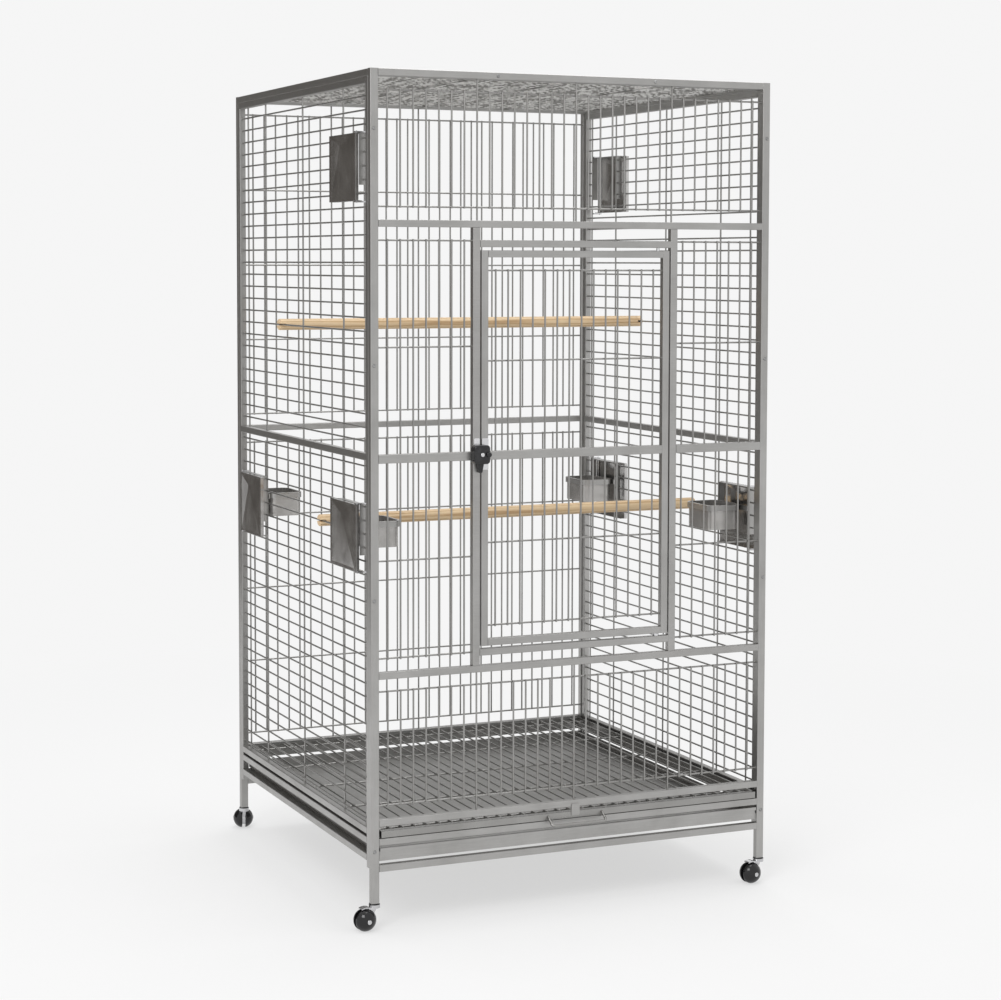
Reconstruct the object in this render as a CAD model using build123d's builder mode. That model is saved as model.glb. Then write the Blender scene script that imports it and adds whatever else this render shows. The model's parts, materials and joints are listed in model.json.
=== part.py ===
from build123d import *
from math import cos, radians, sin, sqrt
import os

# Stainless parrot cage on four ball casters, in millimetres.
# The origin is on the floor under the middle of the cage, +Z is up and the door faces -Y.

# Overall size
cage_width = 1016.0
cage_depth = 998.0
cage_height = 1931.0
leg_foot = 60.0

# Square tube, round wire and the seam left at each weld
tube_size = 16.0
tube_wall = 1.5
tube_corner = 1.6
post_width = 19.0
wire_size = 4.2
weld_gap = 0.05
bar_setback = 9.0
bar_room = 12.0
bar_over = 3.0
end_wire_space = 29.5

# Front and back bars and side wires
bar_pitch = 31.0
side_pitch = 30.85
back_cross_count = 5

# Heights of the rails, each the underside of its tube
low_rail_z = 568.5
bottom_rail_z = 234.0
lowest_rail_z = 131.0
back_lowest_rail_z = 122.0
side_low_rail_z = 152.0
runner_rail_z = 191.0
side_bottom_rail_z = 213.0
side_mid_rail_z = 1060.0
mid_rail_z = 1055.0
mid_rail_height = 20.0
side_post_foot = 138.0

# Door and its opening
opening_width = 486.0
opening_post_width = 18.0
sill_space = 22.0
header_space = 28.0
door_height = 902.5
door_side_gap = 3.0
door_foot_gap = 6.0
door_head_gap = 7.0
stile_width = 17.0
door_cross_share = 0.5
hinge_inset = 27.0
hinge_pin_radius = 4.0
hinge_pin_reach = 10.0
hinge_collar_radius = 7.0
running_gap = 0.05

# Door lock
lock_height = 1069.0
lock_plate_height = 72.0
lock_plate_thick = 2.0
lock_plate_side = 1.0
lock_corner = 3.0
lock_case_shift = 3.5
lock_case_width = 39.0
lock_case_height = 43.0
lock_case_depth = 20.0
lock_case_corner = 8.0
lock_tail_height = 20.0
lock_tail_top = 16.0
lock_tail_tip = 7.0
lock_cylinder_radius = 4.6
lock_cylinder_rise = 2.0
lock_knob_radius = 6.0
lock_knob_length = 5.0
lock_shaft_radius = 3.0
lock_cam_length = 30.0
lock_cam_width = 12.0
lock_cam_thick = 3.0
keeper_width = 14.0
keeper_height = 58.0

# Feeder openings in the sides
feeder_inset = 65.0
feeder_width = 146.0
feeder_low_z = 883.0
feeder_high_z = 1716.0
feeder_door_height = 151.0
feeder_door_past_near = 24.0
feeder_door_past_far = 2.0
feeder_stand_out = 3.0
feeder_door_gap = 1.8
feeder_flange = 8.0
feeder_lip_gap = 1.8
feeder_corner = 2.0
hood_height = 116.0
sheet = 1.2
pyramid_side_border = 12.0
pyramid_end_border = 6.0
pyramid_rise = 5.0
pyramid_apex_down = 28.0
pyramid_apex_size = 3.0
feeder_pin_radius = 1.5
feeder_pin_edge = 3.2
feeder_lug_thick = 3.0
feeder_lug_length = 12.0
lug_gap = 0.6

# Cups and their holders
cup_width = 120.0
cup_length = 84.0
cup_height = 60.0
cup_corner = 18.0
cup_rim = 4.0
cup_rim_thick = 1.6
cup_top_z = 915.0
holder_strip = 3.0
holder_past_wire = 4.0
holder_height = 12.0
holder_gap = 1.2
rest_gap = 0.3

# Perches
perch_diameter = 28.0
low_perch_y = 361.0
low_perch_z = 890.0
high_perch_y = 660.0
high_perch_z = 1348.0
perch_slot_depth = 14.0
perch_slot_gap = 0.3
perch_past_wire = 4.0
perch_chamfer = 1.5

# Roof, grate and tray
roof_pitch = 31.0
roof_support_step = 240.0
grate_pitch = 30.2
grate_side_gap = 5.0
grate_back_space = 20.0
grate_lift = 1.0
grate_bar_thick = 5.0
grate_cross_count = 5
handle_width = 139.0
handle_wire = 6.0
handle_reach = 24.0
handle_drop = 16.0
handle_bend = 7.0
tab_width = 21.0
tab_height = 28.0
tab_thick = 2.0
runner_leg = 24.0
runner_thick = 2.0
tray_side_gap = 2.0
tray_wall = 1.5
tray_height = 17.0
tray_front_drop = 13.0
tray_front_setback = 5.0
tray_lip_height = 7.5
tray_back_space = 18.0

# Screws that hold the panels together
screw_radius = 2.5
screw_head_radius = 4.4
screw_head_height = 2.4
screw_head_taper = 28.0
screw_socket_radius = 1.7
screw_socket_depth = 1.2
screw_hold = 8.0
screw_clearance = 0.1
screw_from_side = 8.0
screw_heights = (178.0, 747.0, 1274.0, 1799.0)
roof_screw_step = 200.0

# Ball casters: the ball trails its stem in the direction given for each corner, from +X
ball_radius = 25.0
ball_tread = 3.0
ball_slot = 9.0
ball_hub_radius = 6.0
caster_trail = 24.0
caster_axle_radius = 3.0
web_side_gap = 0.5
web_radius = 18.0
web_top = 14.0
guard_gap = 1.2
guard_thick = 2.4
guard_width = 18.0
guard_start = 66.0
guard_sweep = 72.0
collar_radius = 13.0
collar_height = 7.6
stem_radius = 4.0
stem_length = 38.0
socket_flange = 2.0
socket_gap = 0.1
socket_length = 40.0
post_cap_depth = 12.0
caster_turns = {"front_left": 186.0, "front_right": 188.0, "back_left": 78.0, "back_right": 317.0}

# Faces and centre planes worked out from the sizes above
right = cage_width / 2
front = -cage_depth / 2
back = cage_depth / 2
front_line = front + tube_size / 2
back_line = back - tube_size / 2
post_inner = right - post_width
side_inner = right - tube_size
side_front = front + 2 * tube_size
side_back = back - 2 * tube_size
opening_inner = opening_width / 2
opening_outer = opening_inner + opening_post_width
sill_z = low_rail_z + tube_size + sill_space
door_low = sill_z + tube_size + door_foot_gap
door_high = door_low + door_height
header_z = door_high + door_head_gap
upper_rail_z = header_z + tube_size + header_space
door_half = opening_inner - door_side_gap
door_inner = door_half - stile_width
hinge_x = door_half - hinge_inset
grate_low = runner_rail_z + tube_size + grate_lift
grate_high = grate_low + tube_size
tray_low = side_low_rail_z + tube_size + rest_gap
grate_width = 2 * (post_inner - grate_side_gap)
tray_width = 2 * (post_inner - tray_side_gap)
cross_step = wire_size + weld_gap

turns = {"X": (0, 90, 0), "Y": (90, 0, 0), "Z": (0, 0, 0)}


def place(start, end):
    """The middle, turned along the run, and the length of a straight piece between two points."""
    span = [b - a for a, b in zip(start, end)]
    axis = max(range(3), key=lambda i: abs(span[i]))
    middle = tuple((a + b) / 2 for a, b in zip(start, end))
    return Location(middle, turns["XYZ"[axis]]), round(abs(span[axis]) - 2 * weld_gap, 4)


def square_tube(start, end, width=tube_size, height=tube_size):
    """A hollow tube with rounded corners between two points, a weld seam short at each end."""
    spot, length = place(start, end)
    with BuildSketch(Plane(spot)) as section:
        RectangleRounded(width, height, tube_corner)
        Rectangle(width - 2 * tube_wall, height - 2 * tube_wall, mode=Mode.SUBTRACT)
    extrude(section.sketch, amount=length / 2, both=True)


def wires(runs, size=wire_size):
    """Round wires between pairs of points, each a weld seam short at each end."""
    placed = [place(start, end) for start, end in runs]
    for length in sorted({size_now for spot, size_now in placed}):
        with Locations(*[spot for spot, size_now in placed if size_now == length]):
            Cylinder(size / 2, length)


def centred(low, high, pitch):
    """Places one pitch apart and centred between two faces."""
    count = int((high - low - 2 * bar_room) / pitch) + 1
    start = (low + high - (count - 1) * pitch) / 2
    return [start + i * pitch for i in range(count)]


def spread(low, high, count):
    """Places evenly spaced from one value to another, both included."""
    return [low + i * (high - low) / (count - 1) for i in range(count)]


def nearest(values, target):
    """The value that lies closest to a target."""
    return min(values, key=lambda value: abs(value - target))


def pieces(start, end, cuts):
    """The stretches between two values that are left between cuts."""
    stretches = []
    for low, high in sorted(cuts):
        stretches.append((start, low))
        start = max(start, high)
    stretches.append((start, end))
    return [(a, b) for a, b in stretches if b - a > wire_size]


def finish(builder, name):
    """Names a finished piece and writes it."""
    builder.part.label = name
    export_step(builder.part, f"parts/{name}.step")


os.makedirs("parts", exist_ok=True)

front_bars = centred(-post_inner, post_inner, bar_pitch)
door_bars = centred(-door_inner, door_inner, bar_pitch)
long_bars = [nearest(front_bars, share * cage_width) for share in (-0.25, 0, 0.25)]
left_bars = [x for x in front_bars if x < -opening_outer - bar_room]
right_bars = [x for x in front_bars if x > opening_outer + bar_room]


def upright_runs(bars, low, high, y, through=()):
    """Upright bars that end just past the end wires, or at the rails for those that run through."""
    runs = []
    for x in bars:
        stop = 0 if x in through else end_wire_space - bar_over
        runs.append(((x, y, low + stop), (x, y, high - stop)))
    return runs


def cross_runs(heights, x_low, x_high, y):
    """Level wires at the given heights from one upright to the next."""
    return [((x_low, y, z), (x_high, y, z)) for z in heights]


def split_section(bars, low, high, x_low, x_high, y, turn):
    """Bars above and below a middle rail, with end wires and a level wire halfway up each part."""
    mid_low, mid_high = mid_rail_z, mid_rail_z + mid_rail_height
    low_end, high_end = low + end_wire_space, high - end_wire_space
    runs = [((x, y, low_end - bar_over), (x, y, mid_low)) for x in bars]
    runs += [((x, y, mid_high), (x, y, high_end + bar_over)) for x in bars]
    low_mid = low_end + (mid_low - low_end) * door_cross_share
    high_mid = mid_high + (high_end - mid_high) * door_cross_share
    return runs + cross_runs([low_end, low_mid, high_mid, high_end], x_low, x_high, y + turn * cross_step)


def screw_holes(x, y, depth):
    """Holes through a post for its row of screws."""
    with Locations(*[Location((x, y, z), turns["Y"]) for z in screw_heights]):
        Cylinder(screw_radius + screw_clearance, depth, mode=Mode.SUBTRACT)


def panel_frame(line, lowest):
    """The parts that the front and back panels share: corner posts, top rail and lowest rail."""
    for side in (-1, 1):
        x = side * (right - post_width / 2)
        square_tube((x, line, leg_foot), (x, line, cage_height), post_width, tube_size)
        screw_holes(side * (right - screw_from_side), line, tube_size)
    for z in (lowest, runner_rail_z, cage_height - tube_size):
        square_tube((-post_inner, line, z + tube_size / 2), (post_inner, line, z + tube_size / 2))
    with Locations(*[Location((x, line, cage_height - tube_size / 2), turns["Y"])
                     for x in (-roof_screw_step, roof_screw_step)]):
        Cylinder(screw_radius + screw_clearance, tube_size, mode=Mode.SUBTRACT)


# Front panel: posts, rails, and the two uprights that frame the door
with BuildPart() as front_frame:
    panel_frame(front_line, lowest_rail_z)
    for z in (bottom_rail_z, low_rail_z, upper_rail_z):
        square_tube((-post_inner, front_line, z + tube_size / 2), (post_inner, front_line, z + tube_size / 2))
    for side in (-1, 1):
        x = side * (opening_inner + opening_post_width / 2)
        square_tube((x, front_line, low_rail_z + tube_size), (x, front_line, upper_rail_z),
                    opening_post_width, tube_size)
        z = mid_rail_z + mid_rail_height / 2
        square_tube((side * opening_outer, front_line, z), (side * post_inner, front_line, z),
                    mid_rail_height, tube_size)
    for z in (sill_z, header_z):
        middle = z + tube_size / 2
        square_tube((-opening_inner, front_line, middle), (opening_inner, front_line, middle))
    with Locations((hinge_x, front_line, header_z), (hinge_x, front_line, sill_z + tube_size)):
        Cylinder(hinge_pin_radius + running_gap, 3 * tube_wall, mode=Mode.SUBTRACT)
finish(front_frame, "front_frame")

front_bar_y = front + bar_setback
top_rail_face = cage_height - tube_size

with BuildPart() as front_upper_wires:
    low, high = upper_rail_z + tube_size, top_rail_face
    wires(upright_runs(front_bars, low, high, front_bar_y, long_bars))
    wires(cross_runs((low + end_wire_space, high - end_wire_space), -post_inner, post_inner,
                     front_bar_y + cross_step))
finish(front_upper_wires, "front_upper_wires")

with BuildPart() as front_lower_wires:
    low, high = bottom_rail_z + tube_size, low_rail_z
    wires(upright_runs(front_bars, low, high, front_bar_y, long_bars))
    wires(cross_runs((low + end_wire_space, high - end_wire_space), -post_inner, post_inner,
                     front_bar_y + cross_step))
finish(front_lower_wires, "front_lower_wires")

for name, bars, x_low, x_high in (("front_left_wires", left_bars, -post_inner, -opening_outer),
                                  ("front_right_wires", right_bars, opening_outer, post_inner)):
    with BuildPart() as front_side_wires:
        wires(split_section(bars, low_rail_z + tube_size, upper_rail_z, x_low, x_high, front_bar_y, 1))
    finish(front_side_wires, name)

# Door: a tube frame with its own bars, hung on two upright pins
with BuildPart() as door_frame:
    for side in (-1, 1):
        x = side * (door_half - stile_width / 2)
        square_tube((x, front_line, door_low - weld_gap), (x, front_line, door_high + weld_gap),
                    stile_width, tube_size)
    for z, height in ((door_low, tube_size), (mid_rail_z, mid_rail_height),
                      (door_high - tube_size, tube_size)):
        square_tube((-door_inner, front_line, z + height / 2), (door_inner, front_line, z + height / 2),
                    height, tube_size)
    with Locations((hinge_x, front_line, door_high), (hinge_x, front_line, door_low)):
        Cylinder(hinge_pin_radius + running_gap, 3 * tube_wall, mode=Mode.SUBTRACT)
    with Locations(Location((-door_half + stile_width / 2, front_line, lock_height), turns["Y"])):
        Cylinder(lock_shaft_radius + running_gap, tube_size, mode=Mode.SUBTRACT)
finish(door_frame, "door_frame")

with BuildPart() as door_wires:
    wires(split_section(door_bars, door_low + tube_size, door_high - tube_size, -door_inner, door_inner,
                        front_bar_y, 1))
finish(door_wires, "door_wires")

# Upper pin, and lower pin with the collar that the door rests on
with BuildPart() as door_hinge_pins:
    with Locations((hinge_x, front_line, header_z - door_head_gap / 2),
                   (hinge_x, front_line, door_low - door_foot_gap / 2)):
        Cylinder(hinge_pin_radius, door_foot_gap + 2 * hinge_pin_reach)
    with Locations((hinge_x, front_line, sill_z + tube_size + rest_gap)):
        Cylinder(hinge_collar_radius, door_foot_gap - 2 * rest_gap, align=(Align.CENTER, Align.CENTER, Align.MIN))
finish(door_hinge_pins, "door_hinge_pins")

# Lock: a plate and a case on the door stile, a key cylinder, and a knob whose shaft turns a cam
lock_x = -door_half + stile_width / 2
case_middle = -opening_inner - lock_case_shift
lock_plane = Plane(origin=(0, front, 0), x_dir=(1, 0, 0), z_dir=(0, -1, 0))

with BuildPart() as lock_plate:
    with BuildSketch(lock_plane.offset(weld_gap)):
        with Locations((lock_x, lock_height)):
            RectangleRounded(stile_width - lock_plate_side, lock_plate_height, lock_corner)
            Circle(lock_shaft_radius + running_gap, mode=Mode.SUBTRACT)
    extrude(amount=lock_plate_thick)
finish(lock_plate, "lock_plate")

case_back = lock_plate_thick + 2 * weld_gap
with BuildPart() as lock_case:
    with BuildSketch(lock_plane.offset(case_back)):
        with Locations((case_middle, lock_height)):
            RectangleRounded(lock_case_width, lock_case_height, lock_case_corner)
    extrude(amount=lock_case_depth)
    fillet(lock_case.faces().sort_by(Axis.Y)[0].edges(), lock_corner)
    tail_top = lock_height - lock_case_height / 2 + lock_corner
    tail_low = lock_height - lock_case_height / 2 - lock_tail_height
    with BuildSketch(lock_plane.offset(case_back)):
        with BuildLine():
            Polyline((case_middle - lock_tail_top / 2, tail_top), (case_middle + lock_tail_top / 2, tail_top),
                     (case_middle + lock_tail_tip / 2, tail_low), (case_middle - lock_tail_tip / 2, tail_low),
                     close=True)
        make_face()
    extrude(amount=lock_case_depth / 2)
    with Locations(Location((lock_x, front - case_back - lock_case_depth / 2, lock_height), turns["Y"])):
        Cylinder(lock_shaft_radius + running_gap, lock_case_depth, mode=Mode.SUBTRACT)
finish(lock_case, "lock_case")

with BuildPart() as lock_cylinder:
    with BuildSketch(lock_plane.offset(case_back + lock_case_depth + weld_gap)):
        with Locations((case_middle, lock_height)):
            Circle(lock_cylinder_radius)
    extrude(amount=lock_cylinder_rise)
    fillet(lock_cylinder.faces().sort_by(Axis.Y)[0].edges(), lock_cylinder_rise / 2)
finish(lock_cylinder, "lock_cylinder")

cam_y = front + tube_size + rest_gap
with BuildPart() as lock_knob:
    with BuildSketch(lock_plane.offset(case_back + lock_case_depth + rest_gap)):
        with Locations((lock_x, lock_height)):
            Circle(lock_knob_radius)
    extrude(amount=lock_knob_length)
    fillet(lock_knob.faces().sort_by(Axis.Y)[0].edges(), lock_corner / 2)
    shaft_length = case_back + lock_case_depth + 2 * rest_gap + tube_size + lock_cam_thick
    with Locations(Location((lock_x, cam_y + lock_cam_thick - shaft_length / 2, lock_height), turns["Y"])):
        Cylinder(lock_shaft_radius, shaft_length)
finish(lock_knob, "lock_knob")

with BuildPart() as lock_cam:
    with BuildSketch(Plane(origin=(lock_x, cam_y, lock_height), x_dir=(1, 0, 0), z_dir=(0, -1, 0))):
        with Locations((0, lock_cam_length / 2 - lock_cam_width / 4)):
            SlotOverall(lock_cam_length + lock_cam_width / 2, lock_cam_width, rotation=90)
        Circle(lock_shaft_radius + running_gap, mode=Mode.SUBTRACT)
    extrude(amount=-lock_cam_thick)
finish(lock_cam, "lock_cam")

with BuildPart() as lock_keeper:
    with BuildSketch(lock_plane.offset(weld_gap)):
        with Locations((-opening_inner - opening_post_width / 2, lock_height + keeper_height / 8)):
            RectangleRounded(keeper_width, keeper_height, lock_corner)
    extrude(amount=lock_plate_thick - rest_gap)
finish(lock_keeper, "lock_keeper")

# Back panel: the same posts and rails, and bars with level wires above and below a middle rail
with BuildPart() as back_frame:
    panel_frame(back_line, back_lowest_rail_z)
    for z in (side_bottom_rail_z, side_mid_rail_z):
        square_tube((-post_inner, back_line, z + tube_size / 2), (post_inner, back_line, z + tube_size / 2))
finish(back_frame, "back_frame")

back_bar_y = back - bar_setback
for name, low, high in (("back_upper_wires", side_mid_rail_z + tube_size, top_rail_face),
                        ("back_lower_wires", side_bottom_rail_z + tube_size, side_mid_rail_z)):
    with BuildPart() as back_wires:
        wires(upright_runs(front_bars, low, high, back_bar_y, long_bars))
        heights = spread(low + end_wire_space, high - end_wire_space, back_cross_count)
        wires(cross_runs(heights, -post_inner, post_inner, back_bar_y - cross_step))
    finish(back_wires, name)

# Feeder openings, each between two upright side wires: side, which end, middle height, whether a cup
# hangs inside
feeder_far = back - feeder_inset
feeder_near = feeder_far - feeder_width
feeders = {
    "left_high_front": (-1, -1, feeder_high_z, False),
    "left_low_front": (-1, -1, feeder_low_z, True),
    "left_low_back": (-1, 1, feeder_low_z, True),
    "right_high_back": (1, 1, feeder_high_z, False),
    "right_low_front": (1, -1, feeder_low_z, True),
    "right_low_back": (1, 1, feeder_low_z, True),
}
side_support_ys = (-feeder_far, -feeder_near, 0.0, feeder_near, feeder_far)
upper_side_rows = centred(side_mid_rail_z + tube_size, top_rail_face - tube_size, side_pitch)
lower_side_rows = centred(side_bottom_rail_z + tube_size, side_mid_rail_z, side_pitch)
level_wire_x = right - bar_setback
upright_wire_x = level_wire_x - cross_step

# A feeder door covers its opening, reaches past it at the near edge and turns on a pin at the far edge
feeder_door_low_y = feeder_near - feeder_door_past_near
feeder_door_high_y = feeder_far + feeder_door_past_far
feeder_door_width = feeder_door_high_y - feeder_door_low_y
feeder_door_middle = (feeder_door_low_y + feeder_door_high_y) / 2
door_back = right + feeder_stand_out + feeder_door_gap
pin_out = door_back + (feeder_flange - sheet) / 2
pin_across = feeder_door_high_y - feeder_pin_edge
lug_z = feeder_door_height / 2 + lug_gap + feeder_lug_thick / 2
hood_top = feeder_door_height / 2 + lug_gap - weld_gap
hood_low = hood_top - hood_height


def feeder_windows(end, z):
    """The stretches along Y and Z that one opening's strips and lugs take from the level wires."""
    across = sorted((end * (feeder_near - sheet / 2), end * (feeder_far + sheet / 2)))
    at_lug = (end * pin_across - feeder_lug_length / 2, end * pin_across + feeder_lug_length / 2)
    windows = [(*across, z + hood_low, z + hood_top)]
    for lug in (z - lug_z, z + lug_z):
        windows.append((*at_lug, lug - feeder_lug_thick / 2, lug + feeder_lug_thick / 2))
    return windows


def side_runs(side, rows, low, high):
    """Level wires stopped at the feeder openings, and the upright wires inside them."""
    reach = (wire_size + rest_gap) / 2
    windows = [window for at, end, z, cup in feeders.values() if at == side
               for window in feeder_windows(end, z)]
    runs = []
    for z in rows:
        cuts = [(y_low, y_high) for y_low, y_high, z_low, z_high in windows
                if z_low - reach < z < z_high + reach]
        runs += [((side * level_wire_x, a, z), (side * level_wire_x, b, z))
                 for a, b in pieces(side_front, side_back, cuts)]
    runs += [((side * upright_wire_x, y, low), (side * upright_wire_x, y, high)) for y in side_support_ys]
    return runs


# Side panels between the front and back panels
for name, side in (("left", -1), ("right", 1)):
    line = side * (right - tube_size / 2)
    with BuildPart() as side_frame:
        for y in (side_front - tube_size / 2, side_back + tube_size / 2):
            square_tube((line, y, side_post_foot), (line, y, top_rail_face))
            screw_end = y - tube_size / 2 if y < 0 else y + tube_size / 2
            screw_holes(side * (right - screw_from_side), screw_end, 4 * tube_wall)
        for z in (side_low_rail_z, runner_rail_z, side_bottom_rail_z, side_mid_rail_z,
                  top_rail_face - tube_size):
            square_tube((line, side_front, z + tube_size / 2), (line, side_back, z + tube_size / 2))
    finish(side_frame, f"{name}_frame")
    with BuildPart() as side_upper_wires:
        wires(side_runs(side, upper_side_rows, side_mid_rail_z + tube_size, top_rail_face - tube_size))
    finish(side_upper_wires, f"{name}_upper_wires")
    with BuildPart() as side_lower_wires:
        wires(side_runs(side, lower_side_rows, side_bottom_rail_z + tube_size, side_mid_rail_z))
    finish(side_lower_wires, f"{name}_lower_wires")

# Roof panel, which lies on the side panels between the front and back panels
roof_z = cage_height - tube_size / 2
roof_front = front + tube_size
roof_back = back - tube_size
with BuildPart() as roof_frame:
    for side in (-1, 1):
        x = side * (right - tube_size / 2)
        square_tube((x, roof_front, roof_z), (x, roof_back, roof_z))
    for y in (roof_front + tube_size / 2, roof_back - tube_size / 2):
        square_tube((-side_inner, y, roof_z), (side_inner, y, roof_z))
        screw_end = roof_front if y < 0 else roof_back
        with Locations(*[Location((x, screw_end, roof_z), turns["Y"])
                         for x in (-roof_screw_step, roof_screw_step)]):
            Cylinder(screw_radius + screw_clearance, 4 * tube_wall, mode=Mode.SUBTRACT)
finish(roof_frame, "roof_frame")

with BuildPart() as roof_wires:
    rows = centred(side_front, side_back, roof_pitch)
    wires([((-side_inner, y, roof_z), (side_inner, y, roof_z)) for y in rows])
    supports = (-roof_support_step, 0.0, roof_support_step)
    wires([((x, side_front, roof_z - cross_step), (x, side_back, roof_z - cross_step)) for x in supports])
finish(roof_wires, "roof_wires")

# Grate: a tube along its front, flat bars round the rest and wires from front to back
grate_back = back - grate_back_space
grate_middle = grate_low + tube_size / 2
with BuildPart() as grate_frame:
    square_tube((-grate_width / 2, front_line, grate_middle), (grate_width / 2, front_line, grate_middle))
    bar_length = grate_back - grate_bar_thick - roof_front - 2 * weld_gap
    side_x = grate_width / 2 - grate_bar_thick / 2
    with Locations(*[(x, roof_front + weld_gap + bar_length / 2, grate_middle) for x in (-side_x, side_x)]):
        Box(grate_bar_thick, bar_length, tube_size)
    with Locations((0, grate_back - grate_bar_thick / 2, grate_middle)):
        Box(grate_width, grate_bar_thick, tube_size)
finish(grate_frame, "grate_frame")

with BuildPart() as grate_wires:
    inner = grate_width / 2 - grate_bar_thick
    wire_z = grate_high - wire_size / 2
    wires([((x, roof_front, wire_z), (x, grate_back - grate_bar_thick, wire_z))
           for x in centred(-inner, inner, grate_pitch)])
    cross = spread(roof_front + grate_pitch, grate_back - grate_pitch, grate_cross_count)
    wires([((-inner, y, wire_z - cross_step), (inner, y, wire_z - cross_step)) for y in cross])
finish(grate_wires, "grate_wires")

# Pull handle, a bent wire that leans out and down from the grate's front tube
with BuildPart() as grate_handle:
    ends = handle_width / 2
    out_y = front - handle_reach
    start_y = front - weld_gap
    with BuildLine() as handle_path:
        FilletPolyline((-ends, start_y, grate_middle), (-ends, out_y, grate_middle - handle_drop),
                       (ends, out_y, grate_middle - handle_drop), (ends, start_y, grate_middle),
                       radius=handle_bend)
    with BuildSketch(Plane(origin=handle_path.line @ 0, z_dir=handle_path.line % 0)):
        Circle(handle_wire / 2)
    sweep()
    with Locations((0, front - weld_gap, grate_middle)):
        Box(handle_width + 3 * handle_wire, 4 * handle_wire, 4 * handle_wire,
            align=(Align.CENTER, Align.MIN, Align.CENTER), mode=Mode.SUBTRACT)
finish(grate_handle, "grate_handle")

with BuildPart() as grate_tab:
    with BuildSketch(lock_plane.offset(weld_gap)):
        with Locations((0, grate_middle + tab_height / 2 - 2)):
            RectangleRounded(tab_width, tab_height, 3)
    extrude(amount=tab_thick)
finish(grate_tab, "grate_tab")


def runner(side, top, rail_low):
    """An angle strip on the inside of a side rail."""
    length = side_back - side_front
    inner = side * (side_inner - weld_gap)
    leg_x = inner - side * runner_leg / 2
    with Locations((leg_x, 0, top - runner_thick / 2)):
        Box(runner_leg, length, runner_thick)
    with Locations((inner - side * runner_thick / 2, 0, (top + rail_low) / 2)):
        Box(runner_thick, length, top - rail_low)


for name, top, rail_low in (("grate_runners", grate_low - rest_gap, runner_rail_z),
                            ("tray_runners", tray_low - rest_gap, side_low_rail_z)):
    with BuildPart() as runners:
        runner(-1, top, rail_low)
        runner(1, top, rail_low)
    finish(runners, name)

# Tray: a folded sheet pan with a lip along the top of its front
tray_back = back - tray_back_space
tray_front = front + tray_front_setback
tray_length = tray_back - tray_front
with BuildPart() as tray:
    with Locations((0, tray_front + tray_length / 2, tray_low + tray_height / 2)):
        Box(tray_width, tray_length, tray_height)
    with Locations((0, tray_front + tray_length / 2, tray_low + tray_wall)):
        Box(tray_width - 2 * tray_wall, tray_length - 2 * tray_wall, tray_height,
            align=(Align.CENTER, Align.CENTER, Align.MIN), mode=Mode.SUBTRACT)
    with Locations((0, tray_front, tray_low - tray_front_drop)):
        Box(tray_width, tray_wall, tray_front_drop + tray_height, align=(Align.CENTER, Align.MIN, Align.MIN))
    with Locations((0, front, tray_low + tray_height)):
        Box(tray_width, tray_front_setback + tray_wall, tray_lip_height,
            align=(Align.CENTER, Align.MIN, Align.MAX))
finish(tray, "tray")

# Feeder hoods: a strip at each side of an opening and one along its top
hood_start = upright_wire_x + wire_size / 2 + weld_gap
hood_end = right + feeder_stand_out
with BuildPart() as feeder_hoods:
    for side, end, z, cup in feeders.values():
        x = side * (hood_start + hood_end) / 2
        depth = hood_end - hood_start
        with Locations(*[(x, end * y, z + (hood_low + hood_top) / 2) for y in (feeder_near, feeder_far)]):
            Box(depth, sheet, hood_height)
        with Locations((x, end * (feeder_near + feeder_far) / 2, z + hood_top - sheet / 2)):
            Box(depth, feeder_width - sheet - 2 * weld_gap, sheet)
finish(feeder_hoods, "feeder_hoods")

# Lugs above and below each feeder door, and the pin that runs through them
pin_spots = [(side * pin_out, end * pin_across, z) for side, end, z, cup in feeders.values()]
with BuildPart() as feeder_lugs:
    lug_end = door_back + feeder_flange
    lug_x = (hood_start + lug_end) / 2
    with Locations(*[(side * lug_x, end * pin_across, z + turn * lug_z)
                     for side, end, z, cup in feeders.values() for turn in (-1, 1)]):
        Box(lug_end - hood_start, feeder_lug_length, feeder_lug_thick)
    with Locations(*[(x, y, z + turn * lug_z) for x, y, z in pin_spots for turn in (-1, 1)]):
        Cylinder(feeder_pin_radius + running_gap, feeder_lug_thick, mode=Mode.SUBTRACT)
finish(feeder_lugs, "feeder_lugs")

with BuildPart() as feeder_pins:
    with Locations(*pin_spots):
        Cylinder(feeder_pin_radius, 2 * lug_z + 2 * feeder_lug_thick)
finish(feeder_pins, "feeder_pins")

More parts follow.
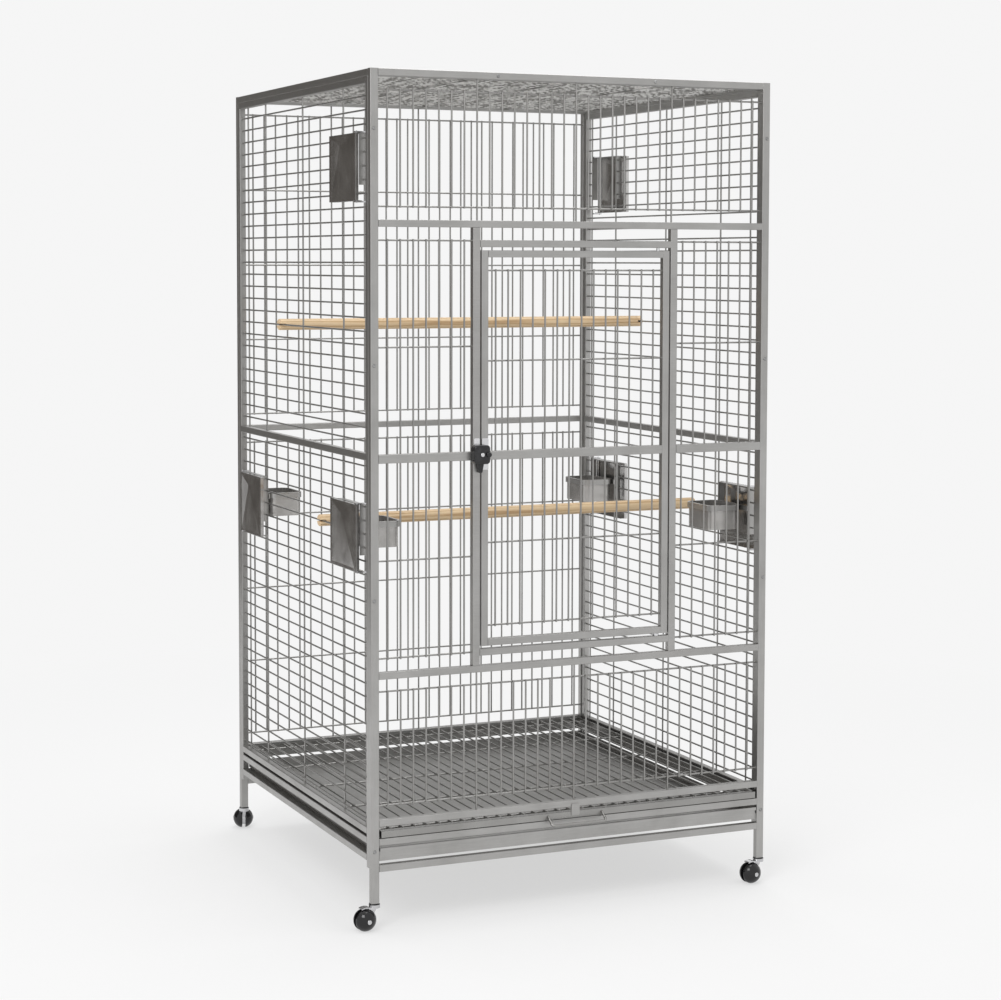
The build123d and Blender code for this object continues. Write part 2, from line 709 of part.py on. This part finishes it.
# Feeder doors: sheet with a pressed pyramid, edges folded back and a deeper fold along the bottom
feeder_lip = door_back - level_wire_x - wire_size / 2 - feeder_lip_gap
for name, (side, end, z, cup) in feeders.items():
    door_plane = Plane(origin=(side * door_back, end * feeder_door_middle, z),
                       x_dir=(0, side, 0), z_dir=(side, 0, 0))
    with BuildPart() as feeder_door:
        with BuildSketch(door_plane):
            RectangleRounded(feeder_door_width, feeder_door_height, feeder_corner)
        extrude(amount=feeder_flange)
        with BuildSketch(door_plane):
            Rectangle(feeder_door_width - 2 * sheet, feeder_door_height - 2 * sheet)
        extrude(amount=feeder_flange - sheet, mode=Mode.SUBTRACT)
        with BuildSketch(door_plane):
            with Locations((0, -feeder_door_height / 2 + sheet / 2)):
                Rectangle(feeder_door_width - 2 * feeder_corner, sheet)
        extrude(amount=-feeder_lip)
        for depth, mode in ((0, Mode.ADD), (sheet, Mode.SUBTRACT)):
            with BuildSketch(door_plane.offset(feeder_flange - depth)):
                Rectangle(feeder_door_width - 2 * pyramid_side_border - 2 * depth,
                          feeder_door_height - 2 * pyramid_end_border - 2 * depth)
            with BuildSketch(door_plane.offset(feeder_flange + pyramid_rise - depth)):
                with Locations((0, feeder_door_height / 2 - pyramid_apex_down)):
                    Rectangle(pyramid_apex_size, pyramid_apex_size)
            loft(mode=mode)
        with Locations((side * pin_out, end * pin_across, z)):
            Cylinder(feeder_pin_radius + running_gap, feeder_door_height, mode=Mode.SUBTRACT)
    finish(feeder_door, f"feeder_door_{name}")

# Cups, each in a rounded loop on a bar that spans the opening's two upright wires
bar_outer = upright_wire_x - wire_size / 2 - weld_gap
holder_outer = bar_outer - holder_strip
cup_outer = holder_outer - holder_strip / 2 - holder_gap
cup_middle = cup_outer - cup_length / 2
holder_top = cup_top_z - cup_rim_thick - rest_gap
cup_feeders = {name: spot for name, spot in feeders.items() if spot[3]}

with BuildPart() as cup_holders:
    for side, end, z, cup in cup_feeders.values():
        bar_y = end * (feeder_near + feeder_far) / 2
        with Locations((side * (bar_outer - holder_strip / 2), bar_y, holder_top - holder_height / 2)):
            Box(holder_strip, feeder_width + 2 * holder_past_wire, holder_height)
        with BuildSketch(Plane.XY.offset(holder_top)):
            with Locations((side * cup_middle, end * feeder_door_middle)):
                grow = 2 * (holder_gap + holder_strip)
                RectangleRounded(cup_length + grow, cup_width + grow, cup_corner + holder_gap + holder_strip)
                RectangleRounded(cup_length + 2 * holder_gap, cup_width + 2 * holder_gap,
                                 cup_corner + holder_gap, mode=Mode.SUBTRACT)
        extrude(amount=-holder_height)
finish(cup_holders, "cup_holders")

for name, (side, end, z, has_cup) in cup_feeders.items():
    y = end * feeder_door_middle
    with BuildPart() as cup:
        with BuildSketch(Plane.XY.offset(cup_top_z - cup_height)):
            with Locations((side * cup_middle, y)):
                RectangleRounded(cup_length, cup_width, cup_corner)
        extrude(amount=cup_height)
        with BuildSketch(Plane.XY.offset(cup_top_z - cup_rim_thick)):
            with Locations((side * cup_middle, y)):
                RectangleRounded(cup_length + 2 * cup_rim, cup_width + 2 * cup_rim, cup_corner + cup_rim)
        extrude(amount=cup_rim_thick)
        with BuildSketch(Plane.XY.offset(cup_top_z - cup_height + sheet)):
            with Locations((side * cup_middle, y)):
                RectangleRounded(cup_length - 2 * sheet, cup_width - 2 * sheet, cup_corner - sheet)
        extrude(amount=cup_height, mode=Mode.SUBTRACT)
    finish(cup, f"cup_{name}")

# Perches: dowels from side to side, each end slotted to slip over a level side wire
perches = {"perch_lower": (front + low_perch_y, nearest(lower_side_rows, low_perch_z)),
           "perch_upper": (front + high_perch_y, nearest(upper_side_rows, high_perch_z))}
perch_half = right - bar_setback + wire_size / 2 + perch_past_wire

for name, (y, z) in perches.items():
    with BuildPart() as perch:
        with Locations(Location((0, y, z), turns["X"])):
            Cylinder(perch_diameter / 2, 2 * perch_half)
        chamfer(perch.edges().filter_by(GeomType.CIRCLE), perch_chamfer)
        with Locations(*[(side * (perch_half - perch_slot_depth / 2), y, z) for side in (-1, 1)]):
            Box(perch_slot_depth, perch_diameter, wire_size + 2 * perch_slot_gap, mode=Mode.SUBTRACT)
    finish(perch, name)

# Screws through the front and back panels into the side and roof panels
screw_spots = [(side * (right - screw_from_side), z) for side in (-1, 1) for z in screw_heights]
screw_spots += [(side * roof_screw_step, roof_z) for side in (-1, 1)]
screw_shank = tube_size + screw_hold
with BuildPart() as panel_screws:
    for face, inward in ((front, 1), (back, -1)):
        head_plane = Plane(origin=(0, face - inward * weld_gap, 0), x_dir=(inward, 0, 0), z_dir=(0, -inward, 0))
        spots = [(inward * x, z) for x, z in screw_spots]
        with BuildSketch(head_plane):
            with Locations(*spots):
                Circle(screw_head_radius)
        extrude(amount=screw_head_height, taper=screw_head_taper)
        with BuildSketch(head_plane):
            with Locations(*spots):
                Circle(screw_radius)
        extrude(amount=-screw_shank)
        with BuildSketch(head_plane.offset(screw_head_height)):
            with Locations(*spots):
                RegularPolygon(screw_socket_radius, 6)
        extrude(amount=-screw_socket_depth, mode=Mode.SUBTRACT)
finish(panel_screws, "panel_screws")

# Casters: a plug in each leg, a swivelling fork and a ball in two halves on an axle
leg_x = right - post_width / 2
legs = {"front_left": (-leg_x, front_line), "front_right": (leg_x, front_line),
        "back_left": (-leg_x, back_line), "back_right": (leg_x, back_line)}

with BuildPart() as caster_sockets:
    for x, y in legs.values():
        with Locations((x, y, leg_foot + weld_gap)):
            Box(post_width - 2 * tube_wall - 2 * socket_gap, tube_size - 2 * tube_wall - 2 * socket_gap,
                socket_length, align=(Align.CENTER, Align.CENTER, Align.MIN))
        with Locations((x, y, leg_foot - weld_gap)):
            Box(post_width, tube_size, socket_flange, align=(Align.CENTER, Align.CENTER, Align.MAX))
            Box(post_width - 2 * tube_wall - 2 * socket_gap, tube_size - 2 * tube_wall - 2 * socket_gap,
                4 * weld_gap)
            Cylinder(stem_radius + running_gap, 3 * socket_length, mode=Mode.SUBTRACT)
finish(caster_sockets, "caster_sockets")

# Caps that close the corner posts, level with their tops
with BuildPart() as post_caps:
    with Locations(*[(x, y, cage_height) for x, y in legs.values()]):
        Box(post_width - 2 * tube_wall - 2 * socket_gap, tube_size - 2 * tube_wall - 2 * socket_gap,
            post_cap_depth, align=(Align.CENTER, Align.CENTER, Align.MAX))
finish(post_caps, "post_caps")

collar_top = leg_foot - weld_gap - socket_flange - rest_gap
ball_round = sqrt(ball_radius**2 + (ball_slot / 2 + ball_tread) ** 2)
hub_out = sqrt(ball_round**2 - ball_hub_radius**2)

for name, (x, y) in legs.items():
    turn = radians(caster_turns[name])
    ahead = (cos(turn), sin(turn), 0)
    ball_plane = Plane(origin=(x + caster_trail * ahead[0], y + caster_trail * ahead[1], ball_radius),
                       x_dir=ahead, z_dir=(ahead[1], -ahead[0], 0))
    with BuildPart() as caster_fork:
        web = ball_slot / 2 - web_side_gap
        with BuildSketch(ball_plane):
            Circle(web_radius)
            with BuildLine():
                top = collar_top - collar_height / 2 - ball_radius
                Polyline((-caster_trail - web_top / 2, top), (-caster_trail + web_top / 2, top),
                         (web_radius / 3, web_radius - 1), (-web_radius + 1, web_radius / 4), close=True)
            make_face()
        extrude(amount=web, both=True)
        with BuildSketch(ball_plane):
            with BuildLine():
                inner_arc = CenterArc((0, 0), ball_round + guard_gap, guard_start, guard_sweep)
                outer_arc = CenterArc((0, 0), ball_round + guard_gap + guard_thick, guard_start, guard_sweep)
                Line(inner_arc @ 0, outer_arc @ 0)
                Line(inner_arc @ 1, outer_arc @ 1)
            make_face()
        extrude(amount=guard_width / 2, both=True)
        with Locations((x, y, collar_top)):
            Cylinder(collar_radius, collar_height, align=(Align.CENTER, Align.CENTER, Align.MAX))
            Cylinder(stem_radius, stem_length, align=(Align.CENTER, Align.CENTER, Align.MIN))
        with BuildSketch(ball_plane):
            Circle(caster_axle_radius + running_gap)
        extrude(amount=web + 1, both=True, mode=Mode.SUBTRACT)
    finish(caster_fork, f"caster_fork_{name}")

    axle_hole = caster_axle_radius + weld_gap / 2
    with BuildPart() as caster_ball:
        for end in (-1, 1):
            with BuildSketch(Plane(origin=ball_plane.origin, x_dir=(0, 0, 1), z_dir=ahead)):
                with BuildLine():
                    slot_y = end * ball_slot / 2
                    tread_y = end * (ball_slot / 2 + ball_tread)
                    hub_y = end * hub_out
                    Polyline((ball_radius, tread_y), (ball_radius, slot_y), (axle_hole, slot_y),
                             (axle_hole, hub_y), (ball_hub_radius, hub_y))
                    RadiusArc((ball_hub_radius, hub_y), (ball_radius, tread_y), end * ball_round)
                make_face()
            revolve(axis=Axis(ball_plane.origin, ball_plane.z_dir))
        with BuildSketch(ball_plane):
            Circle(caster_axle_radius)
        extrude(amount=hub_out - 1, both=True)
    finish(caster_ball, f"caster_ball_{name}")
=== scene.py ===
import json
import math

import bmesh
import bpy
from mathutils import Matrix, Vector


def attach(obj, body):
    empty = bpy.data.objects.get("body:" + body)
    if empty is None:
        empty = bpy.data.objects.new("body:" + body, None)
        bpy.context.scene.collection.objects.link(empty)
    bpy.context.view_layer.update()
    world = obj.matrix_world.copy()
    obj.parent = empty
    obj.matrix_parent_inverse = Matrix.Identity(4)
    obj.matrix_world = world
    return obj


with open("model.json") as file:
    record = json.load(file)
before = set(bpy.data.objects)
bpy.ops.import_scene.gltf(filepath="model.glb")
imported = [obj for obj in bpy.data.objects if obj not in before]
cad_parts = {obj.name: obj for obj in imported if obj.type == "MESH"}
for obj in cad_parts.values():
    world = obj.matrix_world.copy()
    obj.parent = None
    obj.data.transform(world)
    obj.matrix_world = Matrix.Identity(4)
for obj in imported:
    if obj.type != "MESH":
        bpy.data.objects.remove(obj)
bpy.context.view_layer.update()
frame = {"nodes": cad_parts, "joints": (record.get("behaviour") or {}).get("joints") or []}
nodes = frame["nodes"]


# Node graph helpers

def graph(name):
    """A material with an output and nothing else."""
    material = bpy.data.materials.new(name)
    material.use_nodes = True
    tree = material.node_tree
    tree.nodes.clear()
    return material, tree, tree.nodes.new("ShaderNodeOutputMaterial")


def link(tree, source, target):
    tree.links.new(source, target)


def node(tree, kind, **values):
    """A node with its settings and its unlinked inputs."""
    made = tree.nodes.new(kind)
    for key, value in values.items():
        if key in made.inputs:
            made.inputs[key].default_value = value
        else:
            setattr(made, key, value)
    return made


def math_node(tree, operation, a, b=None, clamp=False):
    """A math node fed by sockets or numbers."""
    made = tree.nodes.new("ShaderNodeMath")
    made.operation = operation
    made.use_clamp = clamp
    for slot, value in enumerate((a, b)):
        if value is None:
            continue
        if isinstance(value, (int, float)):
            made.inputs[slot].default_value = value
        else:
            link(tree, value, made.inputs[slot])
    return made.outputs[0]


def place(tree, scale):
    """Object coordinates stretched by a scale."""
    where = tree.nodes.new("ShaderNodeTexCoord")
    mapping = tree.nodes.new("ShaderNodeMapping")
    mapping.inputs["Scale"].default_value = scale
    link(tree, where.outputs["Object"], mapping.inputs["Vector"])
    return mapping.outputs["Vector"]


def noise(tree, scale, size=1.0, detail=4.0, rough=0.5):
    """A noise value from object coordinates."""
    made = tree.nodes.new("ShaderNodeTexNoise")
    made.inputs["Scale"].default_value = size
    made.inputs["Detail"].default_value = detail
    made.inputs["Roughness"].default_value = rough
    link(tree, place(tree, scale), made.inputs["Vector"])
    return made.outputs["Fac"]


def spread(tree, value, low, high, out_low, out_high):
    """A value moved from one span to another, clamped."""
    made = tree.nodes.new("ShaderNodeMapRange")
    made.inputs["From Min"].default_value = low
    made.inputs["From Max"].default_value = high
    made.inputs["To Min"].default_value = out_low
    made.inputs["To Max"].default_value = out_high
    link(tree, value, made.inputs["Value"])
    return made.outputs["Result"]


def tint(tree, factor, dark, light):
    """A colour between two colours."""
    made = tree.nodes.new("ShaderNodeMix")
    made.data_type = "RGBA"
    made.inputs[6].default_value = (*dark, 1)
    made.inputs[7].default_value = (*light, 1)
    link(tree, factor, made.inputs[0])
    return made.outputs[2]


def blend(tree, factor, a, b):
    """A value between two values, by a third."""
    made = tree.nodes.new("ShaderNodeMix")
    made.data_type = "FLOAT"
    link(tree, factor, made.inputs[0])
    link(tree, a, made.inputs[2])
    link(tree, b, made.inputs[3])
    return made.outputs[0]


def bump(tree, height, strength, distance):
    made = tree.nodes.new("ShaderNodeBump")
    made.inputs["Strength"].default_value = strength
    made.inputs["Distance"].default_value = distance
    link(tree, height, made.inputs["Height"])
    return made.outputs["Normal"]


def principled(tree, out, **values):
    shader = node(tree, "ShaderNodeBsdfPrincipled", **values)
    link(tree, shader.outputs["BSDF"], out.inputs["Surface"])
    return shader


def outside(tree, axis, limit):
    """1 where an object coordinate is further from zero than a limit, and 0 elsewhere."""
    where = tree.nodes.new("ShaderNodeTexCoord")
    split = tree.nodes.new("ShaderNodeSeparateXYZ")
    link(tree, where.outputs["Object"], split.inputs[0])
    size = math_node(tree, "ABSOLUTE", split.outputs[axis])
    return math_node(tree, "GREATER_THAN", size, limit)


STREAKS = {"X": (25, 2600, 2600), "Y": (2600, 25, 2600), "Z": (2600, 2600, 25)}


def brushed(name, dark, light, rough, along="X", across=None, split=None, depth=0.00003):
    """Brushed metal whose fine lines run along a tube, with a second direction past a split."""
    material, tree, out = graph(name)
    lines = noise(tree, STREAKS[along], detail=3)
    if across:
        mask = outside(tree, *split)
        lines = blend(tree, mask, lines, noise(tree, STREAKS[across], detail=3))
    cloud = noise(tree, (9, 9, 9), detail=5, rough=0.6)
    fine_part = math_node(tree, "MULTIPLY", lines, 0.45)
    broad_part = math_node(tree, "MULTIPLY", cloud, 0.55)
    mottle = math_node(tree, "ADD", fine_part, broad_part)
    shader = principled(tree, out, Metallic=1.0)
    link(tree, tint(tree, spread(tree, mottle, 0.3, 0.7, 0, 1), dark, light), shader.inputs["Base Color"])
    link(tree, spread(tree, mottle, 0.3, 0.7, rough + 0.07, rough - 0.07), shader.inputs["Roughness"])
    link(tree, bump(tree, lines, 0.35, depth), shader.inputs["Normal"])
    return material


def polished(name, dark, light, rough, smudge=0.08, metal=1.0):
    """Polished sheet with faint smudges and very fine lines."""
    material, tree, out = graph(name)
    cloud = noise(tree, (14, 14, 14), detail=6, rough=0.62)
    lines = noise(tree, (40, 40, 2200), detail=2)
    shader = principled(tree, out, Metallic=metal)
    link(tree, tint(tree, spread(tree, cloud, 0.35, 0.65, 0, 1), dark, light), shader.inputs["Base Color"])
    link(tree, spread(tree, cloud, 0.35, 0.7, rough, rough + smudge), shader.inputs["Roughness"])
    link(tree, bump(tree, lines, 0.12, 0.00002), shader.inputs["Normal"])
    return material


def moulded(name, dark, light, rough, grain=900):
    """Moulded plastic with a faint grain and light scuffs."""
    material, tree, out = graph(name)
    fine = noise(tree, (grain, grain, grain), detail=2)
    scuff = noise(tree, (60, 60, 60), detail=8, rough=0.7)
    shader = principled(tree, out, Metallic=0.0)
    link(tree, tint(tree, spread(tree, scuff, 0.5, 0.75, 0, 1), dark, light), shader.inputs["Base Color"])
    link(tree, spread(tree, scuff, 0.45, 0.8, rough, rough + 0.22), shader.inputs["Roughness"])
    link(tree, bump(tree, fine, 0.08, 0.00005), shader.inputs["Normal"])
    return material


def painted_glint_wire(name, dark, light, rough):
    """Round wire with painted glints: its base colour is painted in light and dark lengths that stand in
    for its shine.
    """
    material, tree, out = graph(name)
    painted_glint_patches = noise(tree, (70, 12, 12), detail=2)
    lines = noise(tree, STREAKS["Y"], detail=3)
    shader = principled(tree, out, Metallic=1.0, Roughness=rough)
    # painted highlight: the noise patches switch the base colour between the dark and light colours,
    # painting glints along the wire
    shine = spread(tree, painted_glint_patches, 0.42, 0.58, 0, 1)
    link(tree, tint(tree, shine, dark, light), shader.inputs["Base Color"])
    link(tree, bump(tree, lines, 0.3, 0.00002), shader.inputs["Normal"])
    return material


def pine(name):
    """Turned softwood with its grain along X: pale bands, darker late wood and a few pores."""
    material, tree, out = graph(name)
    rings = tree.nodes.new("ShaderNodeTexWave")
    rings.wave_type = "BANDS"
    rings.bands_direction = "Y"
    rings.inputs["Scale"].default_value = 1.0
    rings.inputs["Distortion"].default_value = 5.0
    rings.inputs["Detail"].default_value = 3.0
    rings.inputs["Detail Scale"].default_value = 1.4
    link(tree, place(tree, (2.2, 70, 46)), rings.inputs["Vector"])
    fibre = noise(tree, (9, 900, 900), detail=5, rough=0.65)
    cloud = noise(tree, (6, 20, 20), detail=4)
    mixed = math_node(tree, "ADD", math_node(tree, "MULTIPLY", rings.outputs["Fac"], 0.5),
                      math_node(tree, "MULTIPLY", fibre, 0.5))
    ramp = tree.nodes.new("ShaderNodeValToRGB")
    ramp.color_ramp.elements[0].position = 0.22
    ramp.color_ramp.elements[0].color = (0.52, 0.34, 0.18, 1)
    ramp.color_ramp.elements[1].position = 0.74
    ramp.color_ramp.elements[1].color = (0.80, 0.62, 0.40, 1)
    middle = ramp.color_ramp.elements.new(0.45)
    middle.color = (0.72, 0.53, 0.32, 1)
    link(tree, mixed, ramp.inputs["Fac"])
    shade = tree.nodes.new("ShaderNodeMix")
    shade.data_type = "RGBA"
    shade.blend_type = "MULTIPLY"
    shade.inputs[0].default_value = 0.6
    link(tree, ramp.outputs["Color"], shade.inputs[6])
    link(tree, tint(tree, cloud, (0.72, 0.70, 0.68), (1.1, 1.08, 1.04)), shade.inputs[7])
    shader = principled(tree, out, Metallic=0.0)
    link(tree, shade.outputs[2], shader.inputs["Base Color"])
    link(tree, spread(tree, fibre, 0.3, 0.7, 0.62, 0.5), shader.inputs["Roughness"])
    link(tree, bump(tree, mixed, 0.25, 0.0002), shader.inputs["Normal"])
    return material


def paint(name, material):
    """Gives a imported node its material."""
    slots = nodes[name].material_slots
    if slots:
        for slot in slots:
            slot.material = material
    else:
        nodes[name].data.materials.append(material)


STEEL_DARK, STEEL_LIGHT = (0.33, 0.325, 0.315), (0.45, 0.445, 0.435)
WIRE_DARK, WIRE_LIGHT = (0.26, 0.255, 0.245), (0.38, 0.375, 0.365)

frame_steel = brushed("frame_steel", STEEL_DARK, STEEL_LIGHT, 0.36, "X", "Z", (0, 0.489))
door_steel = brushed("door_steel", STEEL_DARK, STEEL_LIGHT, 0.34, "X", "Z", (0, 0.223))
side_steel = brushed("side_steel", STEEL_DARK, STEEL_LIGHT, 0.36, "Y", "Z", (1, 0.467))
roof_steel = brushed("roof_steel", STEEL_DARK, STEEL_LIGHT, 0.36, "X", "Y", (0, 0.492))
feeder_steel = brushed("feeder_steel", STEEL_DARK, STEEL_LIGHT, 0.34, "Y")
wire_steel = brushed("wire_steel", WIRE_DARK, WIRE_LIGHT, 0.3, "Z", depth=0.00002)
grate_steel = brushed("grate_steel", WIRE_DARK, WIRE_LIGHT, 0.3, "Y", depth=0.00002)
tray_steel = brushed("tray_steel", STEEL_DARK, STEEL_LIGHT, 0.42, "X")
# roof wires: the light colour paints glints and the dark colour paints shade along the wires
roof_wire_steel = painted_glint_wire("roof_wire_steel", (0.22, 0.215, 0.205), (0.62, 0.615, 0.6), 0.3)
plate_steel = polished("plate_steel", (0.42, 0.41, 0.4), (0.56, 0.55, 0.54), 0.16)
cup_steel = polished("cup_steel", (0.4, 0.39, 0.375), (0.54, 0.525, 0.51), 0.16, metal=0.7)
plated = polished("plated", (0.6, 0.6, 0.61), (0.74, 0.74, 0.75), 0.18)
screw_steel = polished("screw_steel", (0.3, 0.3, 0.3), (0.42, 0.42, 0.42), 0.26)
chrome = polished("chrome", (0.5, 0.5, 0.51), (0.68, 0.68, 0.69), 0.1)
black_ball = moulded("black_ball", (0.005, 0.005, 0.006), (0.014, 0.014, 0.014), 0.08)
black_plug = moulded("black_plug", (0.012, 0.012, 0.012), (0.03, 0.03, 0.03), 0.42)
lock_black = moulded("lock_black", (0.008, 0.008, 0.009), (0.03, 0.03, 0.032), 0.22)
perch_wood = pine("perch_wood")

looks = {"front_frame": frame_steel, "back_frame": frame_steel, "door_frame": door_steel,
         "left_frame": side_steel, "right_frame": side_steel, "roof_frame": roof_steel,
         "feeder_hoods": feeder_steel, "feeder_lugs": plated, "feeder_pins": plated,
         "grate_frame": grate_steel, "grate_wires": grate_steel, "grate_handle": grate_steel,
         "grate_tab": tray_steel, "grate_runners": side_steel, "tray_runners": side_steel,
         "tray": tray_steel, "cup_holders": feeder_steel, "panel_screws": screw_steel,
         "post_caps": frame_steel, "roof_wires": roof_wire_steel,
         "door_hinge_pins": plated, "lock_plate": plated, "lock_keeper": plated, "lock_cam": plated,
         "lock_case": lock_black, "lock_knob": lock_black, "lock_cylinder": plated,
         "caster_sockets": black_plug,
         "perch_lower": perch_wood, "perch_upper": perch_wood}

for name in nodes:
    if name in looks:
        paint(name, looks[name])
    elif name.startswith("feeder_door"):
        paint(name, plate_steel)
    elif name.startswith("cup_"):
        paint(name, cup_steel)
    elif name.startswith("caster_ball"):
        paint(name, black_ball)
    elif name.startswith("caster_fork"):
        paint(name, chrome)
    else:
        paint(name, wire_steel)


# Detail pieces, in metres

def lathe(name, profile, origin, direction, material, segments=40):
    """A solid turned about a direction from (radius, height) points that start and end on its axis."""
    mesh = bmesh.new()
    rings = []
    for radius, height in profile:
        if radius == 0:
            rings.append([mesh.verts.new((0, 0, height))])
            continue
        angles = (2 * math.pi * step / segments for step in range(segments))
        rings.append([mesh.verts.new((radius * math.cos(a), radius * math.sin(a), height)) for a in angles])
    for low, high in zip(rings, rings[1:]):
        for step in range(segments):
            after = (step + 1) % segments
            if len(low) == 1:
                mesh.faces.new((low[0], high[after], high[step]))
            elif len(high) == 1:
                mesh.faces.new((low[step], low[after], high[0]))
            else:
                mesh.faces.new((low[step], low[after], high[after], high[step]))
    bmesh.ops.recalc_face_normals(mesh, faces=mesh.faces)
    data = bpy.data.meshes.new(name)
    mesh.to_mesh(data)
    mesh.free()
    for face in data.polygons:
        face.use_smooth = True
    data.materials.append(material)
    made = bpy.data.objects.new(name, data)
    turn_to = Vector((0, 0, 1)).rotation_difference(Vector(direction)).to_matrix().to_4x4()
    made.matrix_world = Matrix.Translation(Vector(origin)) @ turn_to
    bpy.context.scene.collection.objects.link(made)
    return made


def hub_reach(joint, axis):
    """How far the ball of a caster reaches along its axle."""
    ball = nodes[joint["child"]]
    centre = Vector(joint["pos_m"])
    return max((ball.matrix_world @ v.co - centre).dot(axis) for v in ball.data.vertices)


HUB_CAP = [(0, -0.0004), (0.0046, -0.0004), (0.0052, 0.0001), (0.0052, 0.0006), (0.0044, 0.0011),
           (0.003, 0.0015), (0.0014, 0.0017), (0, 0.00175)]


def hub_cap(joint, end):
    """A pressed cap over one end of a caster's axle."""
    axis = Vector(joint["axis"]).normalized() * end
    reach = hub_reach(joint, axis)
    name = joint["child"].replace("caster_ball", "hub_cap") + ("_far" if end > 0 else "_near")
    cap = lathe(name, HUB_CAP, Vector(joint["pos_m"]) + axis * reach, axis, chrome)
    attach(cap, joint["child"])


for joint in frame["joints"]:
    if joint["name"].endswith("_roll"):
        for end in (-1, 1):
            hub_cap(joint, end)


# Floor, light and camera

FLOOR_RADIUS = 40
PALE = (0.92, 0.92, 0.92, 1)
SENSOR_WIDTH, FOCAL_LENGTH, LENS_SHIFT = 36, 80.93, -0.0932
CAMERA_SPOT = (-2.2576, -5.1777, 1.5037)
CAMERA_TURN = (23.81, -3.67, -0.11)


def floor_material():
    """White floor that takes shadows near the object and fades to the plain background further out."""
    material, tree, out = graph("floor")
    where = tree.nodes.new("ShaderNodeTexCoord")
    length = tree.nodes.new("ShaderNodeVectorMath")
    length.operation = "LENGTH"
    link(tree, where.outputs["Object"], length.inputs[0])
    far = spread(tree, length.outputs["Value"], 0.7, 3.2, 0.6, 1)
    rough = node(tree, "ShaderNodeBsdfDiffuse", Color=(0.9, 0.9, 0.9, 1))
    plain = node(tree, "ShaderNodeEmission", Color=PALE, Strength=1.0)
    mix = tree.nodes.new("ShaderNodeMixShader")
    link(tree, far, mix.inputs[0])
    link(tree, rough.outputs[0], mix.inputs[1])
    link(tree, plain.outputs[0], mix.inputs[2])
    link(tree, mix.outputs[0], out.inputs["Surface"])
    return material


bpy.ops.mesh.primitive_circle_add(vertices=96, radius=FLOOR_RADIUS, fill_type="NGON", location=(0, 0, 0))
floor = bpy.context.object
floor.name = "floor"
floor.data.materials.append(floor_material())

world = bpy.data.worlds.new("studio")
bpy.context.scene.world = world
world.use_nodes = True
tree = world.node_tree
tree.nodes.clear()
path = tree.nodes.new("ShaderNodeLightPath")
not_direct = math_node(tree, "MAXIMUM", path.outputs["Is Glossy Ray"], path.outputs["Is Transmission Ray"])
seen = math_node(tree, "MAXIMUM", path.outputs["Is Camera Ray"], not_direct)
shown = node(tree, "ShaderNodeBackground", Color=PALE, Strength=1.0)
lighting = node(tree, "ShaderNodeBackground", Color=(1, 1, 1, 1), Strength=0.72)
mix = tree.nodes.new("ShaderNodeMixShader")
sky = tree.nodes.new("ShaderNodeOutputWorld")
link(tree, seen, mix.inputs[0])
link(tree, lighting.outputs[0], mix.inputs[1])
link(tree, shown.outputs[0], mix.inputs[2])
link(tree, mix.outputs[0], sky.inputs["Surface"])


def soft_box(name, spot, aim, size, power):
    """A square soft light aimed at a point."""
    data = bpy.data.lights.new(name, "AREA")
    data.shape = "SQUARE"
    data.size = size
    data.energy = power
    lamp = bpy.data.objects.new(name, data)
    lamp.location = spot
    lamp.rotation_euler = (Vector(aim) - Vector(spot)).to_track_quat("-Z", "Y").to_euler()
    bpy.context.scene.collection.objects.link(lamp)


soft_box("key", (-2.6, -2.8, 3.6), (0, 0, 1.0), 2.0, 70)
soft_box("top", (0.6, 0.4, 4.4), (0, 0, 0.8), 2.6, 70)


def card(name, spot, aim, width, height, colour, shine):
    """A flat card beside the object that only its reflections show."""
    bpy.ops.mesh.primitive_plane_add(size=1)
    made = bpy.context.object
    made.name = name
    made.scale = (width, height, 1)
    made.location = spot
    made.rotation_euler = (Vector(aim) - Vector(spot)).to_track_quat("Z", "Y").to_euler()
    material, tree, out = graph(name)
    light = node(tree, "ShaderNodeEmission", Color=(*colour, 1), Strength=shine)
    link(tree, light.outputs[0], out.inputs["Surface"])
    made.data.materials.append(material)
    made.visible_camera = False
    made.visible_diffuse = False
    made.visible_shadow = False
    made.visible_transmission = False


card("flag_left", (-3.2, 3.0, 1.4), (-0.5, 0, 1.0), 5.6, 5.4, (0.13, 0.12, 0.11), 1.0)
card("flag_back", (2.2, 4.0, 0.7), (0.4, 0, 0.6), 3.8, 1.4, (0.12, 0.115, 0.11), 1.0)
card("shine_front", (-2.4, -3.6, 3.1), (-0.4, -0.5, 1.6), 1.8, 1.2, (1, 1, 1), 1.5)

camera_data = bpy.data.cameras.new("camera")
camera_data.sensor_width = SENSOR_WIDTH
camera_data.lens = FOCAL_LENGTH
camera_data.shift_y = LENS_SHIFT
camera = bpy.data.objects.new("camera", camera_data)
yaw, pitch, roll = (math.radians(v) for v in CAMERA_TURN)
ahead = Vector((math.sin(yaw) * math.cos(pitch), math.cos(yaw) * math.cos(pitch), math.sin(pitch)))
level = Vector((math.cos(yaw), -math.sin(yaw), 0))
above = level.cross(ahead)
side = level * math.cos(roll) - above * math.sin(roll)
lift = level * math.sin(roll) + above * math.cos(roll)
turn = Matrix((side, lift, -ahead)).transposed()
camera.matrix_world = Matrix.Translation(CAMERA_SPOT) @ turn.to_4x4()
bpy.context.scene.collection.objects.link(camera)
bpy.context.scene.camera = camera
bpy.context.scene.view_settings.view_transform = "Standard"
